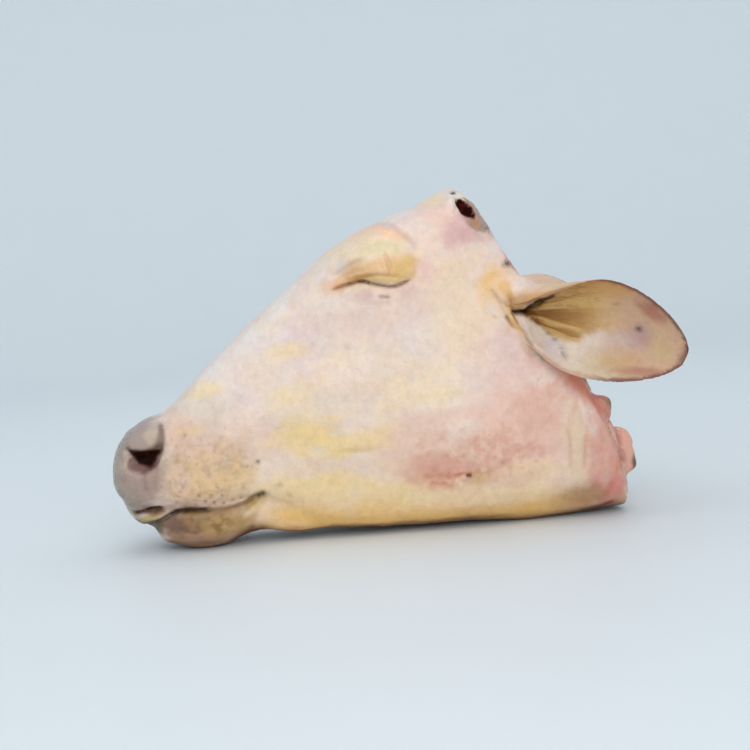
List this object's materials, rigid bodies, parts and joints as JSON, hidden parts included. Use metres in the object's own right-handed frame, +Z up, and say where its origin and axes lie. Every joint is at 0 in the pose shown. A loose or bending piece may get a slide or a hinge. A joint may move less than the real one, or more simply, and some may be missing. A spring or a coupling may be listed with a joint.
{
  "type": "beef head",
  "caption": "Whole beef head with the skin on, scalded and scraped clean, eyes closed and horns sawn off, resting on its lower jaw.",
  "frame": {"origin": "on the resting surface, under the middle of the head with its ears", "axes": "+Z up, -X towards the muzzle, +X towards the cut neck, -Y towards the head's left side, which is the one in the picture"},
  "size_m": [0.6019, 0.3252, 0.3664],
  "materials": {
    "skin": "scalded, scraped and moist skin, cream to pink and yellow, satin"
  },
  "bodies": {
    "root": {"beef_head": "skin"}
  },
  "joints": []
}
